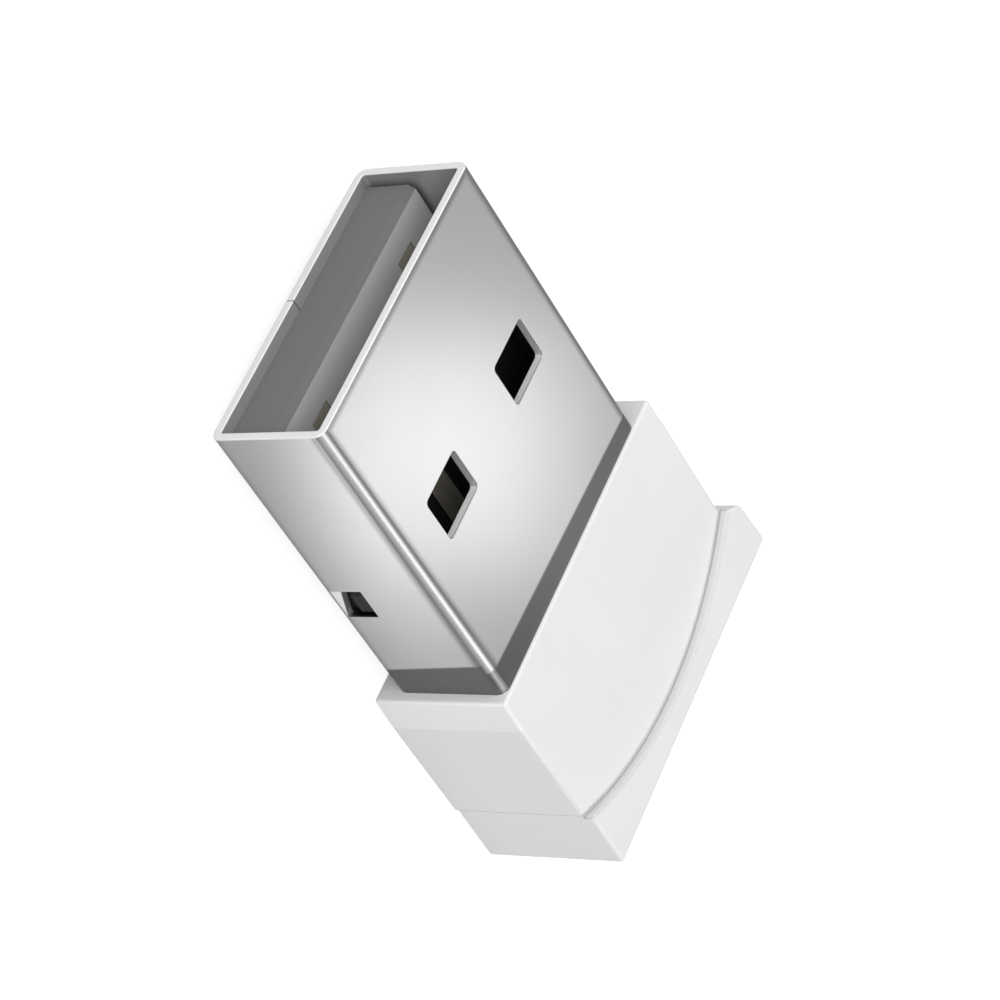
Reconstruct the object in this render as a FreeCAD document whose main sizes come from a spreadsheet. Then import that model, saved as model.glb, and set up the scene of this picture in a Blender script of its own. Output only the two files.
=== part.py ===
import FreeCAD, Part
import math
import os
import re
import Sketcher

# Wireless USB dongle: a folded metal plug on a short moulded housing with a curved end cap.
# Every sub-part is drawn in plug coordinates: x runs from the plug's mouth to the rear,
# y from the plug's centreline to the far side, z up from the housing's underside.
# A common placement then puts the origin at the middle of the whole dongle's underside.

# Sizes in millimetres
SIZES = {
    # Plug shell, folded from sheet
    "plug_width": 12.0,
    "plug_height": 4.5,
    "plug_length": 12.81,
    "shell_sheet": 0.3,
    "shell_inner_bend": 0.1,
    "window_length": 1.8,
    "window_width": 2.3,
    "window_front": 5.4,
    "window_spacing": 5.8,
    "window_corner": 0.18,
    "slot_front": 7.48,
    "slot_length": 1.3,
    "slot_height": 1.25,
    "slot_drop": 0.67,
    "slot_tab_height": 0.45,
    "seam_gap": 0.06,
    "seam_key_front": 8.6,
    "seam_key_neck": 0.9,
    "seam_key_head": 1.5,
    "seam_key_depth": 1.1,
    # Housing, one moulding
    "housing_length": 6.03,
    "housing_wall": 0.8,
    "over_plug": 0.1,
    "under_plug": 0.8,
    "near_of_plug": 0.45,
    "far_of_plug": 1.15,
    "joint_bow": 1.57,
    "lead_length": 1.4,
    "lead_taper": 0.05,
    "edge_round": 0.12,
    "collar_length": 1.5,
    "collar_wall": 0.45,
    "rail_width": 0.7,
    "press_clearance": 0.05,
    # End cap
    "cap_length": 2.62,
    "cap_foot": 0.14,
    "cap_step": 0.34,
    "cap_flare": 0.03,
    "cap_wall": 0.8,
    "ear_front": 0.55,
    "ear_shoulder": 0.76,
    "ear_reach": 0.94,
    "ear_round": 0.35,
    "joint_gap": 0.04,
    "spigot_length": 1.0,
    "spigot_wall": 0.6,
    # Contact carrier and its contacts
    "tongue_recess": 0.45,
    "tongue_drop": 0.05,
    "tongue_side_gap": 0.15,
    "tongue_lead": 0.2,
    "carrier_block": 1.5,
    "latch_height": 0.6,
    "latch_reach": 0.3,
    "latch_clearance": 0.1,
    "contact_width": 1.0,
    "contact_thickness": 0.2,
    "contact_nose": 0.5,
    "contact_clearance": 0.03,
    "outer_contact_start": 1.6,
    "inner_contact_start": 2.6,
    "inner_contact_offset": 1.0,
    "outer_contact_offset": 3.5,
    "solder_length": 0.45,
    "solder_margin": 0.15,
    # Circuit board
    "board_thickness": 0.8,
    "board_nose_gap": 0.15,
    "board_shoulder_gap": 0.05,
    "board_side_gap": 0.15,
    "board_rear_gap": 0.4,
    "via_radius": 0.15,
    "via_x": 0.3,
    "via_inset": 0.25,
    # Parts on the board: x from its shoulders, y from the plug's centreline
    "part_gap": 0.15,
    "radio_side": 3.0,
    "radio_height": 0.8,
    "radio_y": 1.0,
    "mark_radius": 0.2,
    "mark_depth": 0.05,
    "crystal_length": 2.0,
    "crystal_width": 1.6,
    "crystal_height": 0.5,
    "crystal_lid_margin": 0.1,
    "crystal_lid_height": 0.15,
    "crystal_x": 1.5,
    "antenna_length": 3.2,
    "antenna_width": 0.6,
    "antenna_height": 0.9,
    "antenna_inset": 0.45,
    "antenna_y": 0.5,
    "filter_length": 1.6,
    "filter_width": 0.8,
    "filter_height": 0.6,
    "filter_y": -2.2,
    "regulator_length": 2.9,
    "regulator_width": 1.3,
    "regulator_height": 0.95,
    "regulator_stand": 0.05,
    "regulator_x": 1.4,
    "leg_width": 0.4,
    "leg_reach": 0.45,
    "leg_pitch": 0.95,
    "leg_thickness": 0.15,
    "memory_length": 3.0,
    "memory_width": 2.0,
    "memory_height": 0.55,
    "memory_x": 2.0,
    "memory_y": 0.0,
    "fuse_length": 1.6,
    "fuse_width": 0.8,
    "fuse_height": 0.5,
    "bulk_length": 1.6,
    "bulk_width": 0.8,
    "bulk_height": 0.8,
    "small_length": 1.0,
    "small_width": 0.5,
    "small_height": 0.45,
    "resistor_height": 0.35,
    "end_cap_share": 0.25,
    "cap_proud": 0.03,
    "decoupling_x": 0.45,
    "decoupling_pitch": 0.85,
    "load_capacitor_spacing": 1.3,
    "data_resistor_x": 0.45,
    "data_resistor_y": 0.3,
    "data_resistor_pitch": 1.4,
    "inductor_ahead": 0.45,
    "inductor_y": -2.5,
}

# Places that several sub-parts share
PLUG_MIDDLE = "(under_plug + plug_height / 2)"
PLUG_BOTTOM = "under_plug"
PLUG_TOP = "(under_plug + plug_height)"
PLUG_FLOOR = f"({PLUG_BOTTOM} + shell_sheet)"
PLUG_ROOF = f"({PLUG_TOP} - shell_sheet)"
INSIDE_HALF_WIDTH = "(plug_width / 2 - shell_sheet)"
SLOT_TOP = f"({PLUG_MIDDLE} - slot_drop)"
NEAR_SIDE = "(-plug_width / 2 - near_of_plug)"
FAR_SIDE = "(plug_width / 2 + far_of_plug)"
HOUSING_WIDTH = "(plug_width + near_of_plug + far_of_plug)"
HOUSING_CENTRE = "((far_of_plug - near_of_plug) / 2)"
HOUSING_HEIGHT = "(under_plug + plug_height + over_plug)"
HOUSING_FRONT = "plug_length"
JOINT = "(plug_length + housing_length)"
REAR = "(plug_length + housing_length + cap_length)"
JOINT_RADIUS = f"((({HOUSING_WIDTH} / 2) ^ 2 + joint_bow ^ 2) / (2 * joint_bow))"
COLLAR_FRONT = f"({HOUSING_FRONT} - collar_length)"
COLLAR_HALF_WIDTH = f"({INSIDE_HALF_WIDTH} - press_clearance)"
COLLAR_HALF_HEIGHT = "(plug_height / 2 - shell_sheet - press_clearance)"
CARRIER_REAR = f"({COLLAR_FRONT} - press_clearance)"
TONGUE_TOP = f"({PLUG_MIDDLE} - tongue_drop)"
TONGUE_HALF_WIDTH = f"({INSIDE_HALF_WIDTH} - tongue_side_gap)"
BOARD_TOP = f"({TONGUE_TOP} - contact_thickness)"
BOARD_UNDERSIDE = f"({BOARD_TOP} - board_thickness)"
BOARD_SHOULDER = f"({HOUSING_FRONT} + housing_wall + board_shoulder_gap)"
BOARD_NEAR = f"({NEAR_SIDE} + housing_wall + board_side_gap)"
BOARD_FAR = f"({FAR_SIDE} - housing_wall - board_side_gap)"
BOARD_AHEAD = "(spigot_length + board_rear_gap)"
FRAME_X = f"(-{REAR} / 2)"
FRAME_Y = f"(-({FAR_SIDE} + ear_reach + {NEAR_SIDE} - cap_flare) / 2)"

DECOUPLING_COUNT = 3
TOLERANCE = 0.001
LEAST_CUT = 0.000001

document = FreeCAD.newDocument("wireless_usb_dongle")
sheet = document.addObject("Spreadsheet::Sheet", "Sizes")


def fill_sheet():
    for row, (name, value) in enumerate(SIZES.items(), start=1):
        sheet.set(f"A{row}", name)
        sheet.set(f"B{row}", str(value))
        sheet.setAlias(f"B{row}", name)
    document.recompute()


def from_sheet(text):
    """Gives each size's name in an expression the sheet's own name in front."""
    return re.sub(r"[a-z_]{2,}", lambda word: f"Sizes.{word[0]}" if word[0] in SIZES else word[0], text)


def value(text):
    """Works an expression out in millimetres."""
    return float(sheet.evalExpression(from_sheet(text)))


def bind(target, field, text):
    target.setExpression(field, from_sheet(text))


def joint_x(y, ahead="0"):
    """The curved joint's x at a y, or that of the same curve moved ahead towards the mouth."""
    return (
        f"({JOINT} + joint_bow - {JOINT_RADIUS} - ({ahead})"
        f" + sqrt({JOINT_RADIUS} ^ 2 - (({y}) - {HOUSING_CENTRE}) ^ 2))"
    )


# Sketches and features

def new_body(name, x="0", z="0"):
    body = document.addObject("PartDesign::Body", name)
    body.Label = name
    body.AllowCompound = True
    bind(body, "Placement.Base.x", f"{FRAME_X} + {x}")
    bind(body, "Placement.Base.y", FRAME_Y)
    bind(body, "Placement.Base.z", z)
    return body


def sketch_on(body, role, lift="0"):
    """A sketch on one of the body's own origin planes, lifted along the plane's normal."""
    sketch = body.newObject("Sketcher::SketchObject", f"{body.Name}_sketch")
    origin_plane = next(item for item in body.Origin.OriginFeatures if item.Role == role)
    sketch.AttachmentSupport = [(origin_plane, "")]
    sketch.MapMode = "FlatFace"
    bind(sketch, "AttachmentOffset.Base.z", lift)
    return sketch


def arc_between(start, end, radius, outward):
    """The shorter arc from start to end, with its centre on the left of the way for an outward bulge."""
    chord = end - start
    side = 1 if outward else -1
    to_centre = math.sqrt(radius ** 2 - (chord.Length / 2) ** 2)
    left = FreeCAD.Vector(-chord.y, chord.x, 0).normalize()
    centre = (start + end) * 0.5 + left * to_centre * side
    first, last = (start, end) if outward else (end, start)
    angles = [math.atan2(point.y - centre.y, point.x - centre.x) for point in (first, last)]
    circle = Part.Circle(centre, FreeCAD.Vector(0, 0, 1), radius)
    return Part.ArcOfCircle(circle, *angles)


def draw(sketch, corners, arcs=None):
    """Draws a closed outline, anticlockwise, with each corner held by its two expressions.

    arcs names the sides that are arcs, each with its radius and whether it bulges outward.
    """
    arcs = arcs or {}
    points = [FreeCAD.Vector(value(x), value(y), 0) for x, y in corners]
    count = len(points)
    first = sketch.GeometryCount
    ends = []
    for side in range(count):
        start, end = points[side], points[(side + 1) % count]
        if side in arcs:
            radius, outward = arcs[side]
            sketch.addGeometry(arc_between(start, end, value(radius), outward))
            ends.append((1, 2) if outward else (2, 1))
        else:
            sketch.addGeometry(Part.LineSegment(start, end))
            ends.append((1, 2))
    for side in range(count):
        following = (side + 1) % count
        join = ("Coincident", first + side, ends[side][1], first + following, ends[following][0])
        sketch.addConstraint(Sketcher.Constraint(*join))
    for side, (x, y) in enumerate(corners):
        for kind, text in (("DistanceX", x), ("DistanceY", y)):
            place = (kind, -1, 1, first + side, ends[side][0], value(text))
            number = sketch.addConstraint(Sketcher.Constraint(*place))
            bind(sketch, f"Constraints[{number}]", text)
    for side, (radius, _outward) in arcs.items():
        number = sketch.addConstraint(Sketcher.Constraint("Radius", first + side, value(radius)))
        bind(sketch, f"Constraints[{number}]", radius)


def draw_rectangle(sketch, left, right, low, high):
    draw(sketch, [(left, low), (right, low), (right, high), (left, high)])


def draw_rounded_rectangle(sketch, left, right, low, high, radius):
    corners = [
        (f"{left} + {radius}", low),
        (f"{right} - {radius}", low),
        (right, f"{low} + {radius}"),
        (right, f"{high} - {radius}"),
        (f"{right} - {radius}", high),
        (f"{left} + {radius}", high),
        (left, f"{high} - {radius}"),
        (left, f"{low} + {radius}"),
    ]
    draw(sketch, corners, arcs={side: (radius, True) for side in (1, 3, 5, 7)})


def draw_circle(sketch, x, y, radius):
    centre = FreeCAD.Vector(value(x), value(y), 0)
    ring = sketch.addGeometry(Part.Circle(centre, FreeCAD.Vector(0, 0, 1), value(radius)))
    for kind, text in (("DistanceX", x), ("DistanceY", y)):
        number = sketch.addConstraint(Sketcher.Constraint(kind, -1, 1, ring, 3, value(text)))
        bind(sketch, f"Constraints[{number}]", text)
    number = sketch.addConstraint(Sketcher.Constraint("Radius", ring, value(radius)))
    bind(sketch, f"Constraints[{number}]", radius)


def extrude(kind, sketch, length, backward=False, both_ways=False):
    body = sketch.getParentGeoFeatureGroup()
    feature = body.newObject(f"PartDesign::{kind}", f"{body.Name}_{kind.lower()}")
    feature.Profile = sketch
    feature.Reversed = backward
    feature.SideType = "Symmetric" if both_ways else "One side"
    bind(feature, "Length", length)
    document.recompute()
    return feature


def add(sketch, length, **how):
    extrude("Pad", sketch, length, **how)


def cut(sketch, length, **how):
    """A pocket, which has to take material away."""
    before = sketch.getParentGeoFeatureGroup().Shape.Volume
    feature = extrude("Pocket", sketch, length, **how)
    if feature.Shape.Volume > before - LEAST_CUT:
        raise RuntimeError(f"{feature.Name} cuts nothing")


def dress(kind, body, edges, field, size):
    """A fillet or chamfer along the edges that the test picks."""
    base = body.Tip
    names = [f"Edge{number}" for number, edge in enumerate(base.Shape.Edges, start=1) if edges(edge)]
    if not names:
        raise RuntimeError(f"no edges to dress on {body.Name}")
    feature = body.newObject(f"PartDesign::{kind}", f"{body.Name}_{kind.lower()}")
    feature.Base = (base, names)
    bind(feature, field, size)
    document.recompute()


def fillet(body, edges, radius):
    dress("Fillet", body, edges, "Radius", radius)


def runs_along(edge, axis):
    box = edge.BoundBox
    lengths = {"x": box.XLength, "y": box.YLength, "z": box.ZLength}
    return lengths.pop(axis) > TOLERANCE and max(lengths.values()) < TOLERANCE


def is_near(number, *texts):
    return any(abs(number - value(text)) < TOLERANCE for text in texts)


# The plug

def make_plug_shell():
    """A tube folded from sheet, with windows for the socket's springs and a dovetailed seam."""
    body = new_body("plug_shell")
    outside = sketch_on(body, "YZ_Plane")
    draw_rectangle(outside, "-plug_width / 2", "plug_width / 2", PLUG_BOTTOM, PLUG_TOP)
    add(outside, "plug_length")
    fillet(body, lambda edge: runs_along(edge, "x"), "shell_inner_bend + shell_sheet")

    inside = sketch_on(body, "YZ_Plane")
    draw_rectangle(inside, f"-{INSIDE_HALF_WIDTH}", INSIDE_HALF_WIDTH, PLUG_FLOOR, PLUG_ROOF)
    cut(inside, "plug_length", backward=True)
    fillet(
        body,
        lambda edge: runs_along(edge, "x")
        and is_near(abs(edge.BoundBox.YMin), INSIDE_HALF_WIDTH)
        and is_near(edge.BoundBox.ZMin, PLUG_FLOOR, PLUG_ROOF),
        "shell_inner_bend",
    )

    windows = sketch_on(body, "XY_Plane")
    for side in ("-", ""):
        centre = f"{side}window_spacing / 2"
        draw_rectangle(
            windows,
            "window_front",
            "window_front + window_length",
            f"{centre} - window_width / 2",
            f"{centre} + window_width / 2",
        )
    cut(windows, f"{PLUG_TOP} + shell_sheet", backward=True)
    fillet(body, lambda edge: runs_along(edge, "z") and is_window_corner(edge), "window_corner")

    slot = sketch_on(body, "XZ_Plane")
    slot_end = "slot_front + slot_length"
    draw(slot, [
        (slot_end, f"{SLOT_TOP} - slot_height"),
        (slot_end, SLOT_TOP),
        ("slot_front", SLOT_TOP),
        ("slot_front", f"{SLOT_TOP} - slot_height + slot_tab_height"),
    ])
    cut(slot, "2 * plug_width", both_ways=True)
    cut_seam(body)


def is_window_corner(edge):
    return is_near(edge.BoundBox.XMin, "window_front", "window_front + window_length")


def cut_seam(body):
    """The gap where the folded sheet's two edges meet, with a dovetail key that locks them."""
    seam = sketch_on(body, "XY_Plane")
    middle = "(seam_key_front + seam_key_head / 2)"
    lower = "-seam_gap / 2"
    upper = "seam_gap / 2"
    past = "shell_sheet"
    draw(seam, [
        (f"-{past}", lower),
        (f"{middle} - seam_key_neck / 2", lower),
        (f"{middle} - seam_key_head / 2", "seam_key_depth"),
        (f"{middle} + seam_key_head / 2", "seam_key_depth"),
        (f"{middle} + seam_key_neck / 2", lower),
        (f"plug_length + {past}", lower),
        (f"plug_length + {past}", upper),
        (f"{middle} + seam_key_neck / 2 + seam_gap", upper),
        (f"{middle} + seam_key_head / 2 + seam_gap", "seam_key_depth + seam_gap"),
        (f"{middle} - seam_key_head / 2 - seam_gap", "seam_key_depth + seam_gap"),
        (f"{middle} - seam_key_neck / 2 - seam_gap", upper),
        (f"-{past}", upper),
    ])
    cut(seam, f"{PLUG_FLOOR} + shell_sheet", backward=True)


def make_contact_carrier():
    """The insulating tongue with its contact grooves, a block behind it and a latch on each side."""
    body = new_body("contact_carrier")
    tongue = sketch_on(body, "YZ_Plane", "tongue_recess")
    draw_rectangle(tongue, f"-{TONGUE_HALF_WIDTH}", TONGUE_HALF_WIDTH, PLUG_FLOOR, TONGUE_TOP)
    add(tongue, f"{CARRIER_REAR} - tongue_recess")
    fillet(
        body,
        lambda edge: runs_along(edge, "x") and is_near(edge.BoundBox.ZMin, PLUG_FLOOR),
        "shell_inner_bend",
    )
    block = sketch_on(body, "YZ_Plane", f"{CARRIER_REAR} - carrier_block")
    draw_rounded_rectangle(
        block,
        f"-{COLLAR_HALF_WIDTH}",
        COLLAR_HALF_WIDTH,
        PLUG_FLOOR,
        f"({PLUG_ROOF} - press_clearance)",
        "shell_inner_bend",
    )
    add(block, "carrier_block")
    dress(
        "Chamfer",
        body,
        lambda edge: runs_along(edge, "y")
        and is_near(edge.BoundBox.XMin, "tongue_recess")
        and is_near(edge.BoundBox.ZMin, TONGUE_TOP),
        "Size",
        "tongue_lead",
    )

    grooves = sketch_on(body, "XY_Plane", TONGUE_TOP)
    noses = sketch_on(body, "XY_Plane", TONGUE_TOP)
    for start, centre in contact_places():
        low = f"{centre} - contact_width / 2 - contact_clearance"
        high = f"{centre} + contact_width / 2 + contact_clearance"
        front = f"{start} - contact_clearance"
        draw_rectangle(grooves, front, CARRIER_REAR, low, high)
        draw_rectangle(noses, front, f"{start} + contact_thickness + contact_clearance", low, high)
    cut(grooves, "contact_thickness")
    cut(noses, "contact_nose + contact_clearance")

    latches = sketch_on(body, "XY_Plane", f"{SLOT_TOP} - latch_clearance - latch_height")
    front = "slot_front + latch_clearance"
    rear = "slot_front + slot_length - latch_clearance"
    reach = f"{TONGUE_HALF_WIDTH} + latch_reach"
    draw(latches, [
        (front, TONGUE_HALF_WIDTH),
        (rear, TONGUE_HALF_WIDTH),
        (rear, reach),
        (f"{front} + latch_reach", reach),
    ])
    draw(latches, [
        (rear, f"-{TONGUE_HALF_WIDTH}"),
        (front, f"-{TONGUE_HALF_WIDTH}"),
        (f"{front} + latch_reach", f"-({reach})"),
        (rear, f"-({reach})"),
    ])
    add(latches, "latch_height")


def contact_places():
    """Each contact's front end and centre, from the near side to the far side."""
    return [
        ("outer_contact_start", "-outer_contact_offset"),
        ("inner_contact_start", "-inner_contact_offset"),
        ("inner_contact_start", "inner_contact_offset"),
        ("outer_contact_start", "outer_contact_offset"),
    ]


def make_contacts():
    """Flat strips with a nose bent down into the tongue and a tail that lies on the board."""
    names = ("power_contact", "data_minus_contact", "data_plus_contact", "ground_contact")
    for name, (start, centre) in zip(names, contact_places()):
        body = new_body(name)
        side_view = sketch_on(body, "XZ_Plane", f"-({centre})")
        draw(side_view, [
            (start, f"{TONGUE_TOP} - contact_nose"),
            (f"{start} + contact_thickness", f"{TONGUE_TOP} - contact_nose"),
            (f"{start} + contact_thickness", BOARD_TOP),
            (HOUSING_FRONT, BOARD_TOP),
            (HOUSING_FRONT, TONGUE_TOP),
            (start, TONGUE_TOP),
        ])
        add(side_view, "contact_width", both_ways=True)


# The grip

def make_housing():
    """A shell moulding, open at its curved rear, with a collar that plugs into the metal shell."""
    body = new_body("housing")
    outline = sketch_on(body, "XY_Plane")
    lead = f"{HOUSING_FRONT} + lead_length"
    draw(outline, [
        (HOUSING_FRONT, f"{NEAR_SIDE} + lead_taper"),
        (lead, NEAR_SIDE),
        (JOINT, NEAR_SIDE),
        (JOINT, FAR_SIDE),
        (lead, FAR_SIDE),
        (HOUSING_FRONT, f"{FAR_SIDE} - lead_taper"),
    ], arcs={2: (JOINT_RADIUS, True)})
    add(outline, HOUSING_HEIGHT)
    fillet(body, is_outer_housing_edge, "edge_round")

    collar = sketch_on(body, "YZ_Plane", COLLAR_FRONT)
    draw_rectangle(
        collar,
        f"-{COLLAR_HALF_WIDTH}",
        COLLAR_HALF_WIDTH,
        f"{PLUG_MIDDLE} - {COLLAR_HALF_HEIGHT}",
        f"{PLUG_MIDDLE} + {COLLAR_HALF_HEIGHT}",
    )
    add(collar, "collar_length + housing_wall / 2")
    fillet(
        body,
        lambda edge: runs_along(edge, "x") and is_near(edge.BoundBox.XMin, COLLAR_FRONT),
        "shell_inner_bend",
    )

    hollow = sketch_on(body, "XY_Plane", "housing_wall")
    draw_rectangle(
        hollow,
        f"{HOUSING_FRONT} + housing_wall",
        REAR,
        f"{NEAR_SIDE} + housing_wall",
        f"{FAR_SIDE} - housing_wall",
    )
    cut(hollow, f"{HOUSING_HEIGHT} - 2 * housing_wall", backward=True)
    add_board_rails(body)

    aperture = sketch_on(body, "YZ_Plane", COLLAR_FRONT)
    half_width = f"({COLLAR_HALF_WIDTH} - collar_wall)"
    half_height = f"({COLLAR_HALF_HEIGHT} - collar_wall)"
    draw_rectangle(
        aperture,
        f"-{half_width}",
        half_width,
        f"{PLUG_MIDDLE} - {half_height}",
        f"{PLUG_MIDDLE} + {half_height}",
    )
    cut(aperture, "collar_length + housing_wall", backward=True)


def is_outer_housing_edge(edge):
    """The long top and bottom edges and the front's own edges, but not the curved joint."""
    box = edge.BoundBox
    if runs_along(edge, "z"):
        return is_near(box.XMin, HOUSING_FRONT)
    return box.XMax < value(JOINT) + TOLERANCE


def add_board_rails(body):
    """Two ledges on the floor that the board's long edges lie on."""
    rails = sketch_on(body, "XY_Plane", "housing_wall")
    front = f"{HOUSING_FRONT} + housing_wall"
    near_wall = f"{NEAR_SIDE} + housing_wall"
    far_wall = f"{FAR_SIDE} - housing_wall"
    draw_rectangle(rails, front, joint_x(near_wall, BOARD_AHEAD), near_wall, f"{near_wall} + rail_width")
    draw_rectangle(rails, front, joint_x(far_wall, BOARD_AHEAD), f"{far_wall} - rail_width", far_wall)
    add(rails, f"{BOARD_UNDERSIDE} - housing_wall")


def make_end_cap():
    """The curved grip end: a step proud of the housing, an ear on the far side and a spigot."""
    body = new_body("end_cap")
    outline = sketch_on(body, "XY_Plane", "cap_foot")
    front = f"{JOINT} + joint_gap"
    draw(outline, [
        (front, NEAR_SIDE),
        (REAR, f"{NEAR_SIDE} - cap_flare"),
        (REAR, f"{FAR_SIDE} + ear_reach"),
        (f"{front} + ear_front", f"{FAR_SIDE} + ear_shoulder"),
        (front, FAR_SIDE),
    ], arcs={4: (JOINT_RADIUS, False)})
    add(outline, f"{HOUSING_HEIGHT} + cap_step - cap_foot")
    fillet(
        body,
        lambda edge: runs_along(edge, "z") and is_near(edge.BoundBox.YMin, f"{FAR_SIDE} + ear_shoulder"),
        "ear_round",
    )
    fillet(body, is_outer_cap_edge, "edge_round")

    spigot = sketch_on(body, "XY_Plane", "housing_wall + press_clearance")
    near = f"{NEAR_SIDE} + housing_wall + press_clearance"
    far = f"{FAR_SIDE} - housing_wall - press_clearance"
    draw(spigot, [
        (joint_x(near, "spigot_length"), near),
        (f"{REAR} - cap_wall / 2", near),
        (f"{REAR} - cap_wall / 2", far),
        (joint_x(far, "spigot_length"), far),
    ], arcs={3: (JOINT_RADIUS, False)})
    spigot_height = f"{HOUSING_HEIGHT} - 2 * housing_wall - 2 * press_clearance"
    add(spigot, spigot_height)

    hollow = sketch_on(body, "XY_Plane", "housing_wall + press_clearance + spigot_wall")
    draw_rectangle(
        hollow,
        f"{JOINT} - 2 * spigot_length",
        f"{REAR} - cap_wall",
        f"{near} + spigot_wall",
        f"{far} - spigot_wall",
    )
    cut(hollow, f"{spigot_height} - 2 * spigot_wall", backward=True)


def is_outer_cap_edge(edge):
    """Every outer edge of the cap but those of the curved joint."""
    box = edge.BoundBox
    if runs_along(edge, "z"):
        return is_near(box.XMin, REAR)
    crosses_the_part = box.YLength > value(HOUSING_WIDTH) - TOLERANCE
    return not crosses_the_part or is_near(box.XMin, REAR)


# The board and what it carries

ANTENNA_X = f"({joint_x('antenna_y', BOARD_AHEAD)} - {BOARD_SHOULDER} - antenna_inset)"
INDUCTOR_X = f"({ANTENNA_X} - inductor_ahead)"
FILTER_X = f"({INDUCTOR_X} - small_width / 2 - part_gap - filter_width / 2)"
RADIO_X = f"({ANTENNA_X} - antenna_width / 2 - part_gap - radio_side / 2)"
DECOUPLING_Y = "(radio_y - radio_side / 2 - part_gap - small_length / 2)"
REGULATOR_Y = f"({BOARD_NEAR} + part_gap + regulator_length / 2)"
FUSE_X = f"({joint_x(BOARD_NEAR, BOARD_AHEAD)} - {BOARD_SHOULDER} - part_gap - fuse_width / 2)"
FUSE_Y = f"({BOARD_NEAR} + part_gap + fuse_length / 2)"
BULK_X = f"({joint_x(BOARD_FAR, BOARD_AHEAD)} - {BOARD_SHOULDER} - part_gap - bulk_width / 2)"
BULK_Y = f"({BOARD_FAR} - part_gap - bulk_length / 2)"
CRYSTAL_Y = f"({BOARD_FAR} - part_gap - crystal_width / 2)"
LOAD_CAPACITOR_Y = f"({CRYSTAL_Y} - crystal_width / 2 - part_gap - small_length / 2)"


def make_circuit_board():
    body = new_body("circuit_board")
    outline = sketch_on(body, "XY_Plane", BOARD_UNDERSIDE)
    nose = f"({COLLAR_HALF_WIDTH} - collar_wall - board_nose_gap)"
    nose_front = f"{CARRIER_REAR} + board_nose_gap"
    draw(outline, [
        (nose_front, f"-{nose}"),
        (BOARD_SHOULDER, f"-{nose}"),
        (BOARD_SHOULDER, BOARD_NEAR),
        (joint_x(BOARD_NEAR, BOARD_AHEAD), BOARD_NEAR),
        (joint_x(BOARD_FAR, BOARD_AHEAD), BOARD_FAR),
        (BOARD_SHOULDER, BOARD_FAR),
        (BOARD_SHOULDER, nose),
        (nose_front, nose),
    ], arcs={3: (JOINT_RADIUS, True)})
    add(outline, "board_thickness")
    vias = sketch_on(body, "XY_Plane", BOARD_UNDERSIDE)
    via_x = f"{BOARD_SHOULDER} + via_x"
    for y in (f"{BOARD_NEAR} + via_inset", f"{BOARD_FAR} - via_inset"):
        draw_circle(vias, via_x, y, "via_radius")
    cut(vias, "board_thickness", backward=True)


def make_contact_solder():
    """A joint behind each contact's tail, on the board."""
    body = new_body("contact_solder")
    joints = sketch_on(body, "XY_Plane", BOARD_TOP)
    for _start, centre in contact_places():
        half = "(contact_width / 2 + solder_margin)"
        rear = f"{HOUSING_FRONT} + solder_length"
        draw_rectangle(joints, HOUSING_FRONT, rear, f"{centre} - {half}", f"{centre} + {half}")
    add(joints, "contact_thickness")


def on_board(name):
    """A body whose own zero is the board's top face, between the shoulders."""
    return new_body(name, x=BOARD_SHOULDER, z=BOARD_TOP)


def add_blocks(body, places, along_x, along_y, height, lift="0", backward=False):
    """A pad of equal rectangles, one centred on each place."""
    base = sketch_on(body, "XY_Plane", lift)
    for x, y in places:
        draw_rectangle(
            base,
            f"{x} - {along_x} / 2",
            f"{x} + {along_x} / 2",
            f"{y} - {along_y} / 2",
            f"{y} + {along_y} / 2",
        )
    add(base, height, backward=backward)


def add_pin_mark(body, x, y, lift):
    """The shallow dimple beside a chip's first pin."""
    dimple = sketch_on(body, "XY_Plane", lift)
    draw_circle(dimple, x, y, "mark_radius")
    cut(dimple, "mark_depth")


def make_radio_chip():
    body = on_board("radio_chip")
    add_blocks(body, [(RADIO_X, "radio_y")], "radio_side", "radio_side", "radio_height")
    corner = "(radio_side / 2 - 2 * mark_radius)"
    add_pin_mark(body, f"{RADIO_X} - {corner}", f"radio_y - {corner}", "radio_height")


def make_crystal():
    """A ceramic base under a slightly smaller metal lid."""
    body = on_board("crystal")
    place = [("crystal_x", CRYSTAL_Y)]
    add_blocks(body, place, "crystal_length", "crystal_width", "crystal_height")
    lid = ("(crystal_length - 2 * crystal_lid_margin)", "(crystal_width - 2 * crystal_lid_margin)")
    add_blocks(body, place, *lid, "crystal_lid_height", lift="crystal_height")


def make_voltage_regulator():
    """A moulded block that stands on three flat legs."""
    body = on_board("voltage_regulator")
    block = ("regulator_width", "regulator_length", "regulator_height - regulator_stand")
    add_blocks(body, [("regulator_x", REGULATOR_Y)], *block, lift="regulator_stand")
    reach = "(regulator_width + leg_reach) / 2"
    legs = [
        (f"(regulator_x - {reach})", f"({REGULATOR_Y} - leg_pitch)"),
        (f"(regulator_x - {reach})", f"({REGULATOR_Y} + leg_pitch)"),
        (f"(regulator_x + {reach})", REGULATOR_Y),
    ]
    add_blocks(body, legs, "(leg_reach + 2 * regulator_stand)", "leg_width", "leg_thickness")


def make_memory_chip():
    """A flat chip on the board's underside."""
    body = new_body("memory_chip", x=BOARD_SHOULDER, z=BOARD_UNDERSIDE)
    block = ("memory_width", "memory_length", "memory_height")
    add_blocks(body, [("memory_x", "memory_y")], *block, backward=True)


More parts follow.
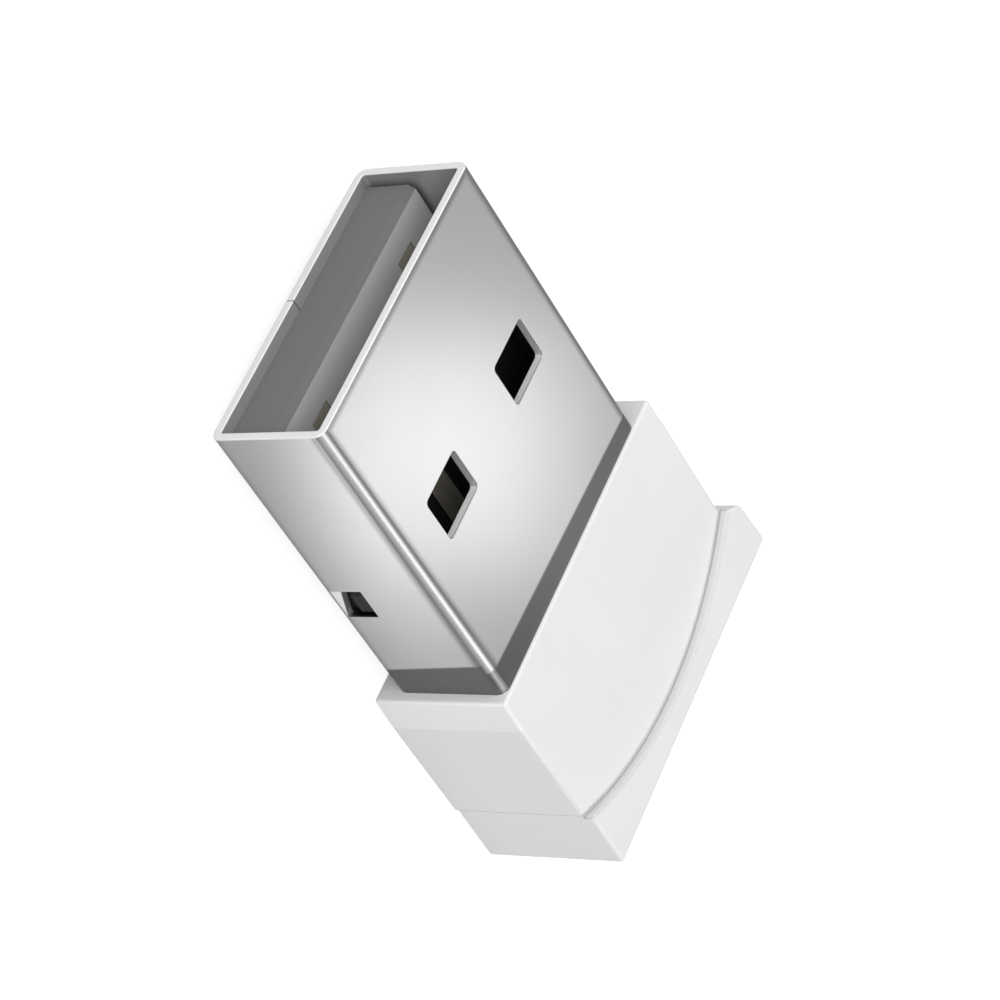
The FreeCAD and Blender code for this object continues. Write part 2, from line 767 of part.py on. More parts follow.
def make_two_ended(name, places, length, width, height):
    """Small parts with a metal cap on both ends, one or several alike, that lie along y."""
    body = on_board(name)
    add_blocks(body, places, f"({width} - 2 * cap_proud)", length, f"{height} - cap_proud")
    inset = f"{length} * (1 - end_cap_share) / 2"
    caps = [(x, f"({y} {side} {inset})") for x, y in places for side in "-+"]
    add_blocks(body, caps, width, f"({length} * end_cap_share)", height)


def make_board_parts():
    make_two_ended(
        "chip_antenna", [(ANTENNA_X, "antenna_y")], "antenna_length", "antenna_width", "antenna_height"
    )
    make_two_ended(
        "antenna_filter", [(FILTER_X, "filter_y")], "filter_length", "filter_width", "filter_height"
    )
    make_two_ended("input_fuse", [(FUSE_X, FUSE_Y)], "fuse_length", "fuse_width", "fuse_height")
    make_two_ended("bulk_capacitor", [(BULK_X, BULK_Y)], "bulk_length", "bulk_width", "bulk_height")
    small = ("small_length", "small_width")
    make_two_ended("matching_inductor", [(INDUCTOR_X, "inductor_y")], *small, "small_height")
    make_two_ended("decoupling_capacitors", [
        (f"(decoupling_x + {step} * decoupling_pitch)", DECOUPLING_Y) for step in range(DECOUPLING_COUNT)
    ], *small, "small_height")
    make_two_ended("crystal_load_capacitors", [
        (f"(crystal_x {side} load_capacitor_spacing / 2)", LOAD_CAPACITOR_Y) for side in "-+"
    ], *small, "small_height")
    make_two_ended("data_line_resistors", [
        ("data_resistor_x", f"(data_resistor_y + {step} * data_resistor_pitch)") for step in range(2)
    ], *small, "resistor_height")


def failed_objects():
    return [
        item.Name
        for item in document.Objects
        if {"Invalid", "Error"} & set(item.State)
    ]


def write_parts():
    """Checks the whole document, then writes one file for each sub-part."""
    document.recompute()
    if failed_objects():
        raise RuntimeError(f"failed: {failed_objects()}")
    bodies = [item for item in document.Objects if item.TypeId == "PartDesign::Body"]
    for body in bodies:
        if body.Shape.isNull() or not body.Shape.isValid():
            raise RuntimeError(f"{body.Label} has no valid shape")
    os.makedirs("parts", exist_ok=True)
    for body in bodies:
        body.Shape.exportStep(os.path.join("parts", f"{body.Label}.step"))
        print(f"{body.Label}: {len(body.Shape.Solids)} solid(s), {body.Shape.Volume:.3f} mm3")


def main():
    fill_sheet()
    make_plug_shell()
    make_housing()
    make_end_cap()
    make_contact_carrier()
    make_contacts()
    make_circuit_board()
    make_contact_solder()
    make_radio_chip()
    make_crystal()
    make_voltage_regulator()
    make_memory_chip()
    make_board_parts()
    write_parts()


main()
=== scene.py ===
"""Wireless USB dongle: the looks of its pieces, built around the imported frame, and a plain studio."""

import math

import bmesh
import bpy
from mathutils import Matrix, Vector


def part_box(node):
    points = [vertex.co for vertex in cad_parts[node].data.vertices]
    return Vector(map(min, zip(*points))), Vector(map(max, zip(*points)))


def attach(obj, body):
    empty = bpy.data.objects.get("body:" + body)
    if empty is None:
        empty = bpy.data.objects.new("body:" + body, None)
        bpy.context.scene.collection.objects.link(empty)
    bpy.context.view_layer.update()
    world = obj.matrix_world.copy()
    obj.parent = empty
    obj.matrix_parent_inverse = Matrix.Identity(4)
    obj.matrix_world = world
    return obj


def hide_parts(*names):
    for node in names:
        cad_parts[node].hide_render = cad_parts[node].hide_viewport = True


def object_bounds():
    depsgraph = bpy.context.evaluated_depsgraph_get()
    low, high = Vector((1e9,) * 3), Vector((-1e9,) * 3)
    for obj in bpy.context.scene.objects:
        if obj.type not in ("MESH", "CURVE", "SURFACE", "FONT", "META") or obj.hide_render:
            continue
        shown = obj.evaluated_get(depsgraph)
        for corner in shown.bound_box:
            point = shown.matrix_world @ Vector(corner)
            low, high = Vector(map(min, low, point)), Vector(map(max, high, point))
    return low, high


bl_info = {
    "name": "Wireless USB Dongle",
    "version": (1, 0, 0),
    "blender": (4, 5, 0),
    "location": "3D View > Sidebar > Dongle",
    "description": "Builds the dongle's metal plug, white grip and inner parts, and the studio round them",
    "category": "Object",
}

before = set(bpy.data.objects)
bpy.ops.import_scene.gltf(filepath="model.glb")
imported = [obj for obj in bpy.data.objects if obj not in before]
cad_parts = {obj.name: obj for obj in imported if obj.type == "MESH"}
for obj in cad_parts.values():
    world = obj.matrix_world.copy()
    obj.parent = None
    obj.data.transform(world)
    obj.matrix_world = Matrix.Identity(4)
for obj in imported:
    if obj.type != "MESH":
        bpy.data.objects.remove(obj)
CAD_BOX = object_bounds()
MM = 0.001
INNER_PARTS = {
    "contact_solder": "solder",
    "radio_chip": "chip_plastic",
    "voltage_regulator": "chip_plastic",
    "memory_chip": "chip_plastic",
    "crystal": "can_metal",
    "chip_antenna": "antenna_ceramic",
    "antenna_filter": "light_ceramic",
    "matching_inductor": "light_ceramic",
    "input_fuse": "fuse_ceramic",
    "bulk_capacitor": "capacitor_ceramic",
    "decoupling_capacitors": "capacitor_ceramic",
    "crystal_load_capacitors": "capacitor_ceramic",
    "data_line_resistors": "resistor_ceramic",
}
CONTACTS = ("power_contact", "data_minus_contact", "data_plus_contact", "ground_contact")

# Colour, roughness and metal of the inner finishes
INNER_FINISHES = {
    "solder": ((0.72, 0.72, 0.73), 0.25, 1.0),
    "can_metal": ((0.70, 0.69, 0.66), 0.3, 1.0),
    "chip_plastic": ((0.02, 0.02, 0.02), 0.55, 0.0),
    "antenna_ceramic": ((0.86, 0.87, 0.85), 0.3, 0.0),
    "light_ceramic": ((0.55, 0.56, 0.60), 0.4, 0.0),
    "fuse_ceramic": ((0.12, 0.30, 0.20), 0.4, 0.0),
    "capacitor_ceramic": ((0.50, 0.36, 0.22), 0.4, 0.0),
    "resistor_ceramic": ((0.04, 0.04, 0.05), 0.4, 0.0),
}

# Steps of the rounds, and the angle from which an edge is drawn sharp
BEND_STEPS = 12
RIM_STEPS = 4
CORNER_STEPS = 5
EAR_STEPS = 10
JOINT_STEPS = 48
WINDOW_CORNER_STEPS = 6
SHARP_FROM = math.radians(32)

# A cutter reaches past what it cuts, and a joined form stands in its wall, by these shares of the wall
CUT_PAST = 1.2
SUNK_IN = 0.9


# Sizes and colours that a user would change

def length(name, description, millimetres):
    return bpy.props.FloatProperty(
        name=name, description=description, default=millimetres * MM, min=0.0, unit="LENGTH", precision=5
    )


def colour(name, description, value):
    return bpy.props.FloatVectorProperty(
        name=name, description=description, default=(*value, 1.0), size=4, min=0.0, max=1.0, subtype="COLOR"
    )


class DongleSizes(bpy.types.PropertyGroup):
    """Sizes of the visible shells that their boxes don't give."""

    sheet: length("Sheet", "Thickness of the plug's metal", 0.3)
    bend: length("Bend radius", "Outer radius of the plug's long edges", 0.4)
    rim_round: length("Rim rounding", "Rounding of the plug's cut edges", 0.05)
    window_length: length("Window length", "Window size along the plug", 1.8)
    window_width: length("Window width", "Window size across the plug", 2.3)
    window_corner: length("Window corner", "Corner radius of the windows", 0.18)
    window_lip: length("Window lip", "Broken edge round the windows", 0.03)
    window_front: length("Window front", "Mouth to the windows' front edges", 5.4)
    window_spacing: length("Window spacing", "Between the windows' centres", 5.8)
    slot_front: length("Slot front", "Mouth to the side slots", 7.48)
    slot_length: length("Slot length", "Side slot along the plug", 1.3)
    slot_height: length("Slot height", "Side slot's height", 1.25)
    slot_drop: length("Slot drop", "Plug's middle down to the slot", 0.67)
    slot_tab: length("Slot tab", "Height of the sheet left at the slot's front", 0.45)
    seam_gap: length("Seam gap", "Gap of the folded sheet's seam", 0.06)
    seam_key_front: length("Seam key front", "Mouth to the seam's dovetail", 8.6)
    seam_key_neck: length("Seam key neck", "Dovetail's length at its neck", 0.9)
    seam_key_head: length("Seam key head", "Dovetail's length at its head", 1.5)
    seam_key_depth: length("Seam key depth", "Reach of the dovetail", 1.1)
    grip_round: length("Grip rounding", "Rounding of the white mouldings' edges", 0.12)
    joint_bow: length("Joint bow", "Rise of the curved joint", 1.57)
    joint_gap: length("Joint gap", "Gap between the housing and the cap", 0.015)
    lead_length: length("Lead length", "Faceted stretch at the housing's front", 1.4)
    lead_taper: length("Lead taper", "How far the facet draws in", 0.05)
    wall: length("Wall", "Wall of the mouldings", 0.8)
    spigot_wall: length("Spigot wall", "Wall of the cap's spigot", 0.6)
    rail_width: length("Rail width", "Width of the ledges under the board", 0.7)
    rail_margin: length("Rail margin", "Board's rear edge to the ledges' ends", 1.4)
    collar_wall: length("Collar wall", "Wall of the collar inside the plug", 0.45)
    clearance: length("Clearance", "Gap between parts that fit", 0.05)
    ear_front: length("Ear front", "Joint to the ear's shoulder", 0.55)
    ear_shoulder: length("Ear shoulder", "Ear's reach at its shoulder", 0.76)
    ear_round: length("Ear rounding", "Radius of the ear's shoulder", 0.35)
    cap_flare: length("Cap flare", "Cap's spread on the near side", 0.03)


class DongleColours(bpy.types.PropertyGroup):
    """Base colours of the visible finishes."""

    plate: colour("Plate", "Nickel plate on the plug", (0.70, 0.70, 0.71))
    # Painted dark reflection of the housing's shaded front face, in a band at the plug's root
    root_reflection_band: colour("Root band", "Darker band at the plug's root", (0.19, 0.19, 0.19))
    lining: colour("Lining", "Dull inside of the plug", (0.5, 0.5, 0.49))
    # Bare cut steel, with a painted highlight where the edges face the port and on the slot tabs
    bare_edge_and_highlight: colour("Cut edge", "Bare edges of the plug's sheet", (0.97, 0.97, 0.97))
    housing: colour("Housing", "White housing", (0.85, 0.853, 0.858))
    lead: colour("Lead facet", "Paler facets at the housing's front", (0.93, 0.93, 0.92))
    # Painted highlight: the front facets are paler than the housing
    cap: colour("End cap", "White end cap", (0.85, 0.85, 0.86))
    # Painted shade on the cap's front lip along the joint
    cap_lip_shade: colour("Cap lip", "Duller lip of the cap along the joint", (0.69, 0.70, 0.70))
    # Painted shade in the crease where the cap meets the housing's top
    joint_shade_line: colour("Joint line", "Dark line where the cap meets the housing's top", (0.46, 0.46, 0.46))
    carrier: colour("Carrier", "Tongue inside the plug", (0.03, 0.03, 0.03))
    # Painted light: the tongue's nose and the top behind it are paler where light from the mouth would fall
    carrier_nose_light: colour("Tongue nose", "Scuffed nose of the tongue", (0.2, 0.2, 0.2))
    carrier_top_light: colour("Tongue top", "Rubbed top of the tongue behind its nose", (0.6, 0.6, 0.6))
    contact: colour("Contact", "Pale gold flash on the contacts", (0.62, 0.58, 0.49))
    board: colour("Board", "Solder mask of the board", (0.02, 0.10, 0.05))


def sizes():
    return bpy.context.scene.dongle_sizes


def colours():
    return bpy.context.scene.dongle_colours


# Outlines

def arc_points(centre, radius, start, end, steps):
    """Points on an arc from one angle to another, both included."""
    angles = [start + (end - start) * step / steps for step in range(steps + 1)]
    return [Vector((centre[0] + radius * math.cos(a), centre[1] + radius * math.sin(a))) for a in angles]


def rounded_rectangle(half_width, half_height, radius, steps):
    corners = ((1, 1, 0.0), (-1, 1, 0.5), (-1, -1, 1.0), (1, -1, 1.5))
    points = []
    for side, rise, turn in corners:
        centre = (side * (half_width - radius), rise * (half_height - radius))
        points += arc_points(centre, radius, turn * math.pi, (turn + 0.5) * math.pi, steps)
    return points


def round_corner(before, corner, after, radius, steps):
    """The arc that replaces one corner of an outline."""
    into = (before - corner).normalized()
    out = (after - corner).normalized()
    half = into.angle(out) / 2
    reach = radius / math.tan(half)
    centre = corner + (into + out).normalized() * (radius / math.sin(half))
    start, end = corner + into * reach, corner + out * reach
    turn = (start - centre).angle_signed(end - centre)
    first = math.atan2(start.y - centre.y, start.x - centre.x)
    return arc_points(centre, radius, first, first - turn, steps)


def inset(points, distance):
    """The outline moved inward by a distance; it runs anticlockwise."""
    moved = []
    for index, point in enumerate(points):
        before, after = points[index - 1], points[(index + 1) % len(points)]
        first, second = (point - before).normalized(), (after - point).normalized()
        normals = Vector((-first.y, first.x)), Vector((-second.y, second.x))
        mean = (normals[0] + normals[1]).normalized()
        moved.append(point + mean * (distance / max(mean.dot(normals[0]), 0.2)))
    return moved


# Meshes

def new_piece(name, mesh):
    piece = bpy.data.objects.new(name, mesh)
    bpy.context.scene.collection.objects.link(piece)
    return piece


def stack(name, rings):
    """A closed solid through rings of equal count; its faces are turned outward."""
    work = bmesh.new()
    rows = [[work.verts.new(point) for point in ring] for ring in rings]
    count = len(rings[0])
    for low, high in zip(rows, rows[1:]):
        for index in range(count):
            following = (index + 1) % count
            work.faces.new((low[index], low[following], high[following], high[index]))
    work.faces.new(rows[0][::-1])
    work.faces.new(rows[-1])
    bmesh.ops.recalc_face_normals(work, faces=work.faces)
    mesh = bpy.data.meshes.new(name)
    work.to_mesh(mesh)
    work.free()
    return new_piece(name, mesh)


def slab(name, outline, low, high, radius=0.0):
    """An upright solid on an outline, its top and bottom edges rounded."""
    levels = []
    if radius:
        for step in range(CORNER_STEPS + 1):
            angle = 0.5 * math.pi * step / CORNER_STEPS
            levels.append((low + radius * (1 - math.cos(angle)), radius * (1 - math.sin(angle))))
        levels += [(low + high - z, distance) for z, distance in reversed(levels)]
    else:
        levels = [(low, 0.0), (high, 0.0)]
    rings = [[(p.x, p.y, z) for p in inset(outline, distance)] for z, distance in levels]
    return stack(name, rings)


def block(name, low, high):
    """A plain box between two corners."""
    corners = ((low[0], low[1]), (high[0], low[1]), (high[0], high[1]), (low[0], high[1]))
    return slab(name, [Vector(corner) for corner in corners], low[2], high[2])


def bake(piece):
    """Turns the piece and its modifiers into a plain mesh."""
    evaluated = piece.evaluated_get(bpy.context.evaluated_depsgraph_get())
    mesh = bpy.data.meshes.new_from_object(evaluated)
    old = piece.data
    piece.modifiers.clear()
    piece.data = mesh
    mesh.name = piece.name
    if old.users == 0:
        bpy.data.meshes.remove(old)


def combine(piece, others, operation):
    """Cuts the other solids out of the piece, or joins them to it, and deletes them."""
    for other in others:
        modifier = piece.modifiers.new(operation.lower(), "BOOLEAN")
        modifier.operation = operation
        modifier.solver = "EXACT"
        modifier.object = other
    bake(piece)
    for other in others:
        bpy.data.objects.remove(other)


def finish_shading(piece, material):
    """Smooth rounds, flat faces and one material."""
    mesh = piece.data
    mesh.materials.clear()
    mesh.materials.append(material)
    for polygon in mesh.polygons:
        polygon.material_index = 0
    mesh.shade_smooth()
    mesh.set_sharp_from_angle(angle=SHARP_FROM)
    weighted = piece.modifiers.new("even_normals", "WEIGHTED_NORMAL")
    weighted.keep_sharp = True
    weighted.mode = "FACE_AREA"
    weighted.weight = 100
    bake(piece)


def place(piece, node, slot):
    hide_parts(node)
    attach(piece, "root")


# Shader groups that several finishes share

def new_group(name, inputs, outputs):
    """An empty group, the sockets that bring its inputs in, and the node that takes its outputs."""
    group = bpy.data.node_groups.new(name, "ShaderNodeTree")
    for label, default in inputs.items():
        socket = group.interface.new_socket(label, in_out="INPUT", socket_type="NodeSocketFloat")
        socket.default_value = default
    for label in outputs:
        group.interface.new_socket(label, in_out="OUTPUT", socket_type="NodeSocketFloat")
    return group, add_node(group, "NodeGroupInput").outputs, add_node(group, "NodeGroupOutput")


def feed(tree, node, inputs):
    """Links a node's inputs to the sockets given, or sets their plain values."""
    for key, value in inputs.items():
        if isinstance(value, bpy.types.NodeSocket):
            tree.links.new(value, node.inputs[key])
        else:
            node.inputs[key].default_value = value


def add_node(tree, kind, inputs=None, **settings):
    """A new node with its settings and what feeds its inputs."""
    node = tree.nodes.new(kind)
    for key, value in settings.items():
        setattr(node, key, value)
    feed(tree, node, inputs or {})
    return node


def grain_group():
    """Fine moulding or plating grain: a height for bump and a mask for tone, both round a half."""
    group, given, result = new_group("fine_grain", {"Scale": 400.0, "Coarse share": 0.4}, ("Height", "Mask"))
    where = add_node(group, "ShaderNodeTexCoord").outputs["Object"]
    coarse_scale = add_node(group, "ShaderNodeMath", {0: given["Scale"], 1: 0.12}, operation="MULTIPLY")

    def noise(scale, detail):
        inputs = {"Vector": where, "Scale": scale, "Detail": detail}
        return add_node(group, "ShaderNodeTexNoise", inputs).outputs["Fac"]

    fine, coarse = noise(given["Scale"], 3.0), noise(coarse_scale.outputs[0], 2.0)
    shares = {"Factor": given["Coarse share"], 2: fine, 3: coarse}
    mix = add_node(group, "ShaderNodeMix", shares, data_type="FLOAT")
    feed(group, result, {"Height": fine, "Mask": mix.outputs[0]})
    return group


def smudge_group():
    """Soft handling marks: a slow, patchy value round a half for tone and roughness."""
    group, given, result = new_group("handling_marks", {"Scale": 220.0, "Stretch": 1.0}, ("Value",))
    where = add_node(group, "ShaderNodeTexCoord").outputs["Object"]
    stretch = add_node(group, "ShaderNodeCombineXYZ", {"X": 1.0, "Y": given["Stretch"], "Z": 1.0})
    scaled = add_node(group, "ShaderNodeVectorMath", {0: where, 1: stretch.outputs[0]}, operation="MULTIPLY")
    noise = add_node(group, "ShaderNodeTexNoise", {
        "Vector": scaled.outputs[0],
        "Scale": given["Scale"],
        "Detail": 4.0,
        "Distortion": 0.6,
    })
    feed(group, result, {"Value": noise.outputs["Fac"]})
    return group


def shared_group(name):
    makers = {"fine_grain": grain_group, "handling_marks": smudge_group}
    return bpy.data.node_groups.get(name) or makers[name]()


class Finish:
    """A material with its Principled shader and short ways to feed it."""

    def __init__(self, name):
        self.material = bpy.data.materials.new(name)
        self.material.use_nodes = True
        self.tree = self.material.node_tree
        self.shader = self.tree.nodes["Principled BSDF"]

    def set(self, inputs):
        feed(self.tree, self.shader, inputs)

    def node(self, kind, inputs=None, **settings):
        return add_node(self.tree, kind, inputs, **settings).outputs

    def group(self, name, inputs):
        return self.node("ShaderNodeGroup", inputs, node_tree=shared_group(name))

    def ramp(self, source, low, high, start=0.3, end=0.7):
        """A value that goes softly from one limit to the other as the source goes from start to end."""
        limits = {"Value": source, "From Min": start, "From Max": end, "To Min": low, "To Max": high}
        return self.node("ShaderNodeMapRange", limits, interpolation_type="SMOOTHSTEP")["Result"]

    def past(self, distance, fade, none=0.0):
        """One past an edge, and nothing or the level given short of it; the fade is in millimetres."""
        return self.ramp(distance, none, 1.0, start=fade[0] * MM, end=fade[1] * MM)

    def before(self, distance, fade, full=1.0):
        """One, or the level given, as far as an edge, and nothing past it; the fade is in millimetres."""
        return self.ramp(distance, full, 0.0, start=fade[0] * MM, end=fade[1] * MM)

    def blend(self, factor, first, second):
        """A colour between two, each a colour or a socket."""
        return self.node("ShaderNodeMix", {"Factor": factor, 6: first, 7: second}, data_type="RGBA")[2]

    def math(self, operation, first, second):
        return self.node("ShaderNodeMath", {0: first, 1: second}, operation=operation)[0]

    def vector(self, operation, first, second):
        return self.node("ShaderNodeVectorMath", {0: first, 1: second}, operation=operation)

    def product(self, first, *others):
        for other in others:
            first = self.math("MULTIPLY", first, other)
        return first

    def larger(self, first, second):
        return self.math("MAXIMUM", first, second)

    def difference(self, first, second):
        return self.math("SUBTRACT", first, second)

    def line(self, along, slope, start):
        """A straight line: its start, and its slope times the way along."""
        return self.math("ADD", self.math("MULTIPLY", along, slope), start)

    def place(self):
        return self.node("ShaderNodeTexCoord")["Object"]

    def axes(self, vector):
        """X, Y and Z of a vector."""
        return self.node("ShaderNodeSeparateXYZ", {0: vector})

    def facing(self):
        """X, Y and Z of the surface's normal."""
        return self.axes(self.node("ShaderNodeNewGeometry")["Normal"])

    def bump(self, height, distance, strength):
        given = {"Distance": distance, "Strength": strength, "Height": height}
        self.set({"Normal": self.node("ShaderNodeBump", given)["Normal"]})


def shade(colour_value, factor):
    """A colour made lighter or darker."""
    return (*[min(1.0, part * factor) for part in colour_value[:3]], 1.0)


# Where the finishes change. A fade is where a mask starts and where it ends, in millimetres if not said

EDGE_FADE = (0.02, 0.06)  # behind the rim, or under an outer face
SKIN_FADE = (0.03, 0.06)  # under an outer face, past its broken edges
LIP_FADES = (0.002, 0.01), (0.03, 0.05)  # the broken edges: start and end
SHEET_FADE = (0.27, 0.29)  # short of the lining, on the windows' walls
LINING_FADE = (0.285, 0.295)  # short of the lining
LINING_SHADE_FADE = (1.5, 4.5)  # from the mouth to where the lining is fully darkened by painted shade
OFF_FOLD_FADE = (0.38, 0.42)  # past a fold
UPRIGHT_FADE = (0.4, 0.45)  # down from the flats, past a fold
FACING_FADE = (-0.8, -0.4)  # part of a normal: square on, to turned away
BAND_FADE = (-0.06, 0.06)  # over the band's front edge
BAND_ON_FLATS = (0.033, 11.93 * MM)  # slope, and place from the mouth at the middle
BAND_ON_SIDES = (-0.065, 11.29 * MM)  # slope, and place from the mouth at the top
BAND_TURN_FADE = (0.16, 0.3)  # down from the flats, where the band turns onto the sides
CREST_FADE = (0.13, 0.2)  # off a fold's crest
TAB_FADE = (-0.03, 0.03)  # over the tab's edges
FOLD_LINE_FADES = (0.14, 0.27), (0.3, 0.62)  # the dark line beside a fold: start and end
FOLD_LINE_UPPER_FADE = (-3.5, -1.5)  # under the top
MOUTH_LINE_FADE = (0.08, 0.34)  # behind the mouth
LEAD_FADE = (-0.02, 0.02)  # over the facets' rear edge
LEAD_SIDE_FADE = (-0.12, -0.06)  # past the housing's sides
NOSE_LIGHT_FADE = (1.6, 4.2)  # behind the tongue's nose
UPWARD_FADE = (0.9, 0.98)  # part of a normal
CAP_LIP_FADE = (0.0, 0.03)  # behind the lip's rounding
CAP_LIP_FOOT_FADE = (-0.02, 0.0)  # over the housing's top
JOINT_LINE_FADE = (0.05, 0.11)  # over the housing's top

# How dark the plate's painted shade is beside its plain tone, and its lining's painted shade beside its own
FOLD_LINE_SHADE = 0.48
SLOT_WALL_SHADE = 0.12
DEEP_LINING_SHADE = 0.15


class PlugAxes:
    """Places on the plug for its finish: along it, across it, and inward from its faces and folds."""

    def __init__(self, finish):
        self.low, self.high = (Vector(corner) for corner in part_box("plug_shell"))
        centre, half = (self.low + self.high) / 2, (self.high - self.low) / 2
        along, across, upright = finish.axes(finish.place())
        self.from_mouth = finish.difference(along, self.low.x)
        self.across = finish.difference(across, centre.y)
        self.under_top = finish.difference(upright, self.high.z)
        from_side, self.from_flat = (
            finish.difference(reach, finish.math("ABSOLUTE", offset, 0.0))
            for reach, offset in ((half.y, self.across), (half.z, finish.difference(upright, centre.z)))
        )
        self.from_fold = finish.larger(from_side, self.from_flat)
        self.depth = finish.math("MINIMUM", from_side, self.from_flat)


def root_reflection_mask(finish, place):
    """One past the front edge of the dark band at the plug's root, a painted dark reflection of the
    housing's shaded front; less on the folds' crests, so the fold's bright line shows through.
    """
    flat, side = (
        finish.past(finish.difference(place.from_mouth, finish.line(along, *edge)), BAND_FADE)
        for along, edge in ((place.across, BAND_ON_FLATS), (place.under_top, BAND_ON_SIDES))
    )
    upright = finish.product(side, finish.past(place.from_flat, BAND_TURN_FADE))
    return finish.product(finish.larger(upright, flat), finish.past(place.from_fold, CREST_FADE, none=0.5))


def bare_edge_and_highlight_mask(finish, place):
    """One on the bare cut edges, pale with a painted highlight: full where they face the port, the rim and
    the windows' rear walls; less on side walls.
    """
    facing = finish.facing()
    start, end = FACING_FADE
    forward = finish.ramp(facing["X"], 1.0, 0.0, start, end)
    sideways = finish.ramp(facing["Y"], 0.55, 0.0, start, end)
    wall = finish.product(
        finish.past(place.from_flat, EDGE_FADE),
        finish.before(place.from_flat, SHEET_FADE),
        finish.larger(forward, sideways),
        finish.past(place.from_fold, OFF_FOLD_FADE),
    )
    return finish.larger(finish.before(place.from_mouth, EDGE_FADE), wall)


def slot_wall_shade_mask(finish, place):
    """One on the side slots' walls, between the plug's outer skin and its lining, where shade is painted."""
    return finish.product(
        finish.past(place.depth, SKIN_FADE),
        finish.before(place.depth, LINING_FADE),
        finish.past(place.from_flat, UPRIGHT_FADE),
    )


def tab_highlight_mask(finish, place):
    """One on the tab of sheet left at the lower front corner of each side slot, painted pale: a painted
    highlight where a pressed tab would catch the light.
    """
    size = sizes()
    bottom = (place.high.z - place.low.z) / 2 + size.slot_drop + size.slot_height
    along = finish.difference(place.from_mouth, size.slot_front)
    height = finish.math("ADD", place.under_top, bottom)
    edge = finish.line(along, -size.slot_tab / size.slot_length, size.slot_tab)
    return finish.product(*[
        finish.past(distance, TAB_FADE) for distance in (along, height, finish.difference(edge, height))
    ])


def fold_shade_mask(finish, place):
    """Painted shade: one in the two dark lines beside each fold's crest, on broken edges, and at the flats'
    mouth edge.
    """
    line_start, line_end = FOLD_LINE_FADES
    beside_fold = finish.product(
        finish.past(place.from_fold, line_start),
        finish.before(place.from_fold, line_end),
        finish.past(place.under_top, FOLD_LINE_UPPER_FADE, none=0.25),
    )
    lip_start, lip_end = LIP_FADES
    lip = finish.product(
        finish.past(place.depth, lip_start),
        finish.before(place.depth, lip_end),
        finish.past(place.from_fold, OFF_FOLD_FADE),
    )
    at_mouth = finish.product(
        finish.before(place.from_mouth, MOUTH_LINE_FADE, full=0.9),
        finish.before(place.from_flat, SKIN_FADE),
    )
    return finish.larger(finish.larger(beside_fold, lip), at_mouth)


def plate_finish():
    """Bright nickel plate with painted shade beside the folds, on the slot walls and deep in the lining,
    pale bare cut edges with a painted highlight, and a painted dark reflection in a band at the root.
    """
    finish = Finish("plug_plate")
    base, lining = colours().plate, colours().lining
    place = PlugAxes(finish)
    grain = finish.group("fine_grain", {"Scale": 5000.0, "Coarse share": 0.3})
    marks = finish.group("handling_marks", {"Scale": 260.0, "Stretch": 0.5})
    tone = finish.blend(finish.ramp(marks["Value"], 0.0, 1.0), shade(base, 0.99), shade(base, 1.01))
    inside = finish.past(place.depth, LINING_FADE)
    # Painted shade: the lining darkens from the mouth inward.
    deep_shade = finish.past(place.from_mouth, LINING_SHADE_FADE)
    tone = finish.blend(inside, tone, finish.blend(deep_shade, lining, shade(lining, DEEP_LINING_SHADE)))
    # Painted shade on the side slots' walls.
    tone = finish.blend(slot_wall_shade_mask(finish, place), tone, shade(base, SLOT_WALL_SHADE))
    # Painted shade in dark lines beside the folds, on the broken edges and at the mouth.
    tone = finish.blend(fold_shade_mask(finish, place), tone, shade(base, FOLD_LINE_SHADE))
    # Painted dark reflection of the housing's shaded front, in a band at the plug's root.
    tone = finish.blend(root_reflection_mask(finish, place), tone, colours().root_reflection_band)
    # Bare cut edges, pale with a painted highlight where they face the port, and a painted highlight on the
    # slot tabs.
    cut = finish.larger(bare_edge_and_highlight_mask(finish, place), tab_highlight_mask(finish, place))
    dull = finish.larger(cut, finish.product(inside, 0.5))
    finish.set({
        "Base Color": finish.blend(cut, tone, colours().bare_edge_and_highlight),
        "Metallic": finish.ramp(dull, 1.0, 0.2, start=0.0, end=1.0),
        "Roughness": finish.ramp(grain["Mask"], 0.325, 0.345),
    })
    finish.bump(grain["Height"], distance=0.001 * MM, strength=0.05)
    return finish.material


def plastic_finish(name, base, roughness, places, gloss=0.5):
    """Moulded plastic: a fine grain, soft marks in its gloss, and places with a colour of their own, which
    paint highlights, light and shade.
    """
    finish = Finish(name)
    grain = finish.group("fine_grain", {"Scale": 6000.0, "Coarse share": 0.5})
    marks = finish.group("handling_marks", {"Scale": 180.0})
    tone = finish.blend(finish.ramp(marks["Value"], 0.0, 1.0), shade(base, 0.985), shade(base, 1.01))
    for mask, local_colour in places:
        tone = finish.blend(mask(finish), tone, local_colour)
    finish.set({
        "Base Color": tone,
        "Roughness": finish.ramp(marks["Value"], roughness - 0.03, roughness + 0.04),
        "IOR": 1.49,
        "Specular IOR Level": gloss,
    })
    finish.bump(grain["Height"], distance=0.004 * MM, strength=0.2)
    return finish.material


def lead_highlight_mask(finish):
    """One on the two facets at the housing's front, beside the plug, which a painted highlight makes paler.
    """
    low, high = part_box("housing")
    half = (high[1] - low[1]) / 2
    along, across, _ = finish.axes(finish.place())
    behind = finish.difference(along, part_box("plug_shell")[1][0] + sizes().lead_length)
    offset = finish.math("ABSOLUTE", finish.difference(across, low[1] + half), 0.0)
    side = finish.past(finish.difference(offset, half), LEAD_SIDE_FADE)
    return finish.product(finish.before(behind, LEAD_FADE), side)


def nose_light_mask(finish):
    """One on the tongue's nose, fading inward: painted light where the mouth lets light in."""
    behind_nose = finish.difference(finish.axes(finish.place())["X"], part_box("contact_carrier")[0][0])
    return finish.before(behind_nose, NOSE_LIGHT_FADE)


